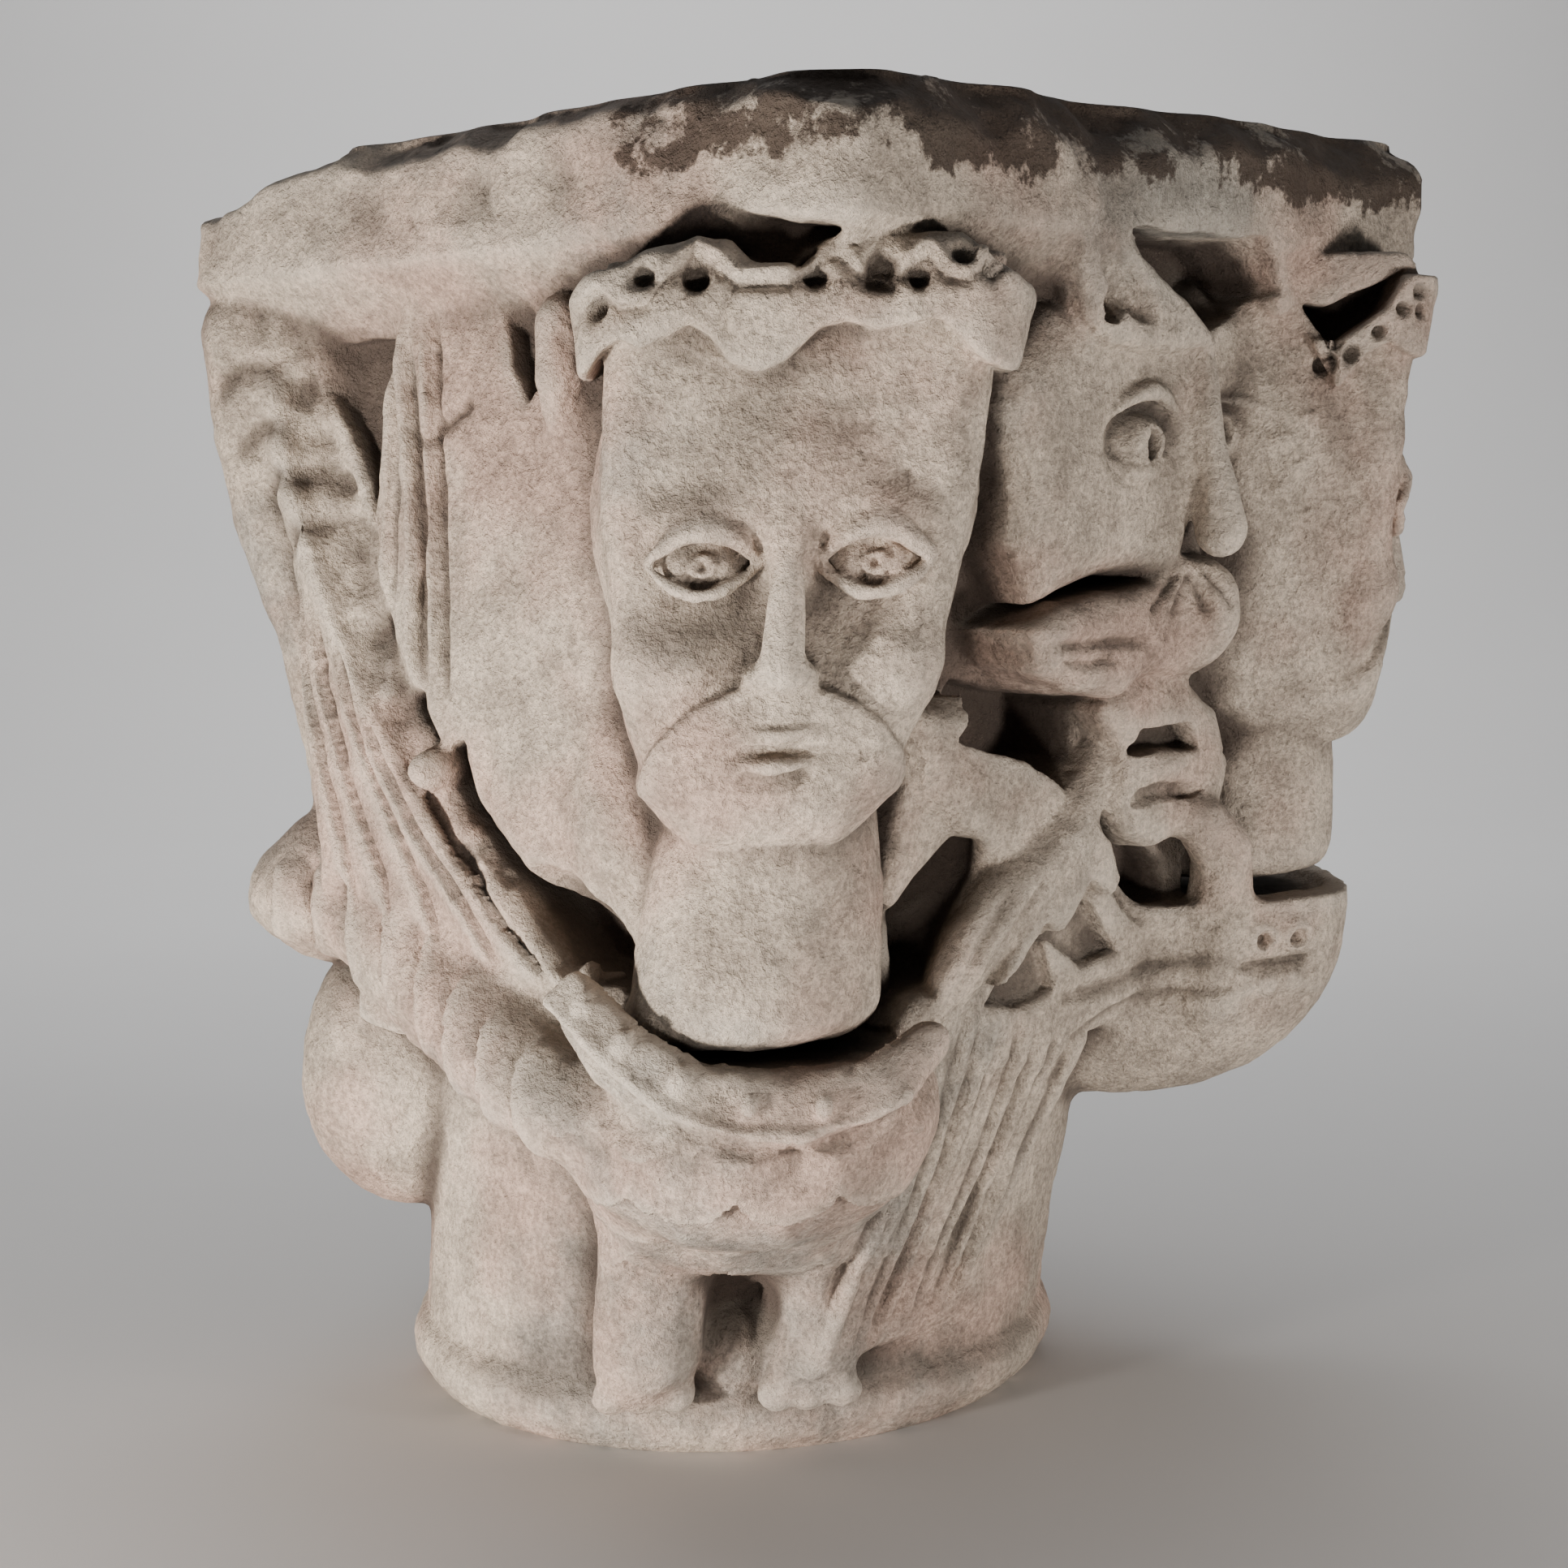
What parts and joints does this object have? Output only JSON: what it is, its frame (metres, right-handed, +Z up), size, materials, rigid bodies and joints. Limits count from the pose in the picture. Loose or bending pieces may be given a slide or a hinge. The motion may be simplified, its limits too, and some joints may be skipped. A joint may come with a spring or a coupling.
{
  "type": "historiated capital",
  "caption": "Weathered stone column capital, round at the foot and square at the top, carved with crowned-headed birds, a beast's head, wings and feathers",
  "frame": {"origin": "centre of the flat lower bed, where the round necking rests on its column's shaft", "axes": "+Z up, out of the upper bed; the abacus' four faces look along +X, -X, +Y and -Y; the main bird is on the corner between +X and -Y, and the beast's head is on the +X face"},
  "size_m": [0.4124, 0.4135, 0.466],
  "materials": {
    "stone": "weathered granular limestone, dressed with the chisel, dull and dusty"
  },
  "bodies": {
    "root": {"capital": "stone"}
  },
  "joints": []
}
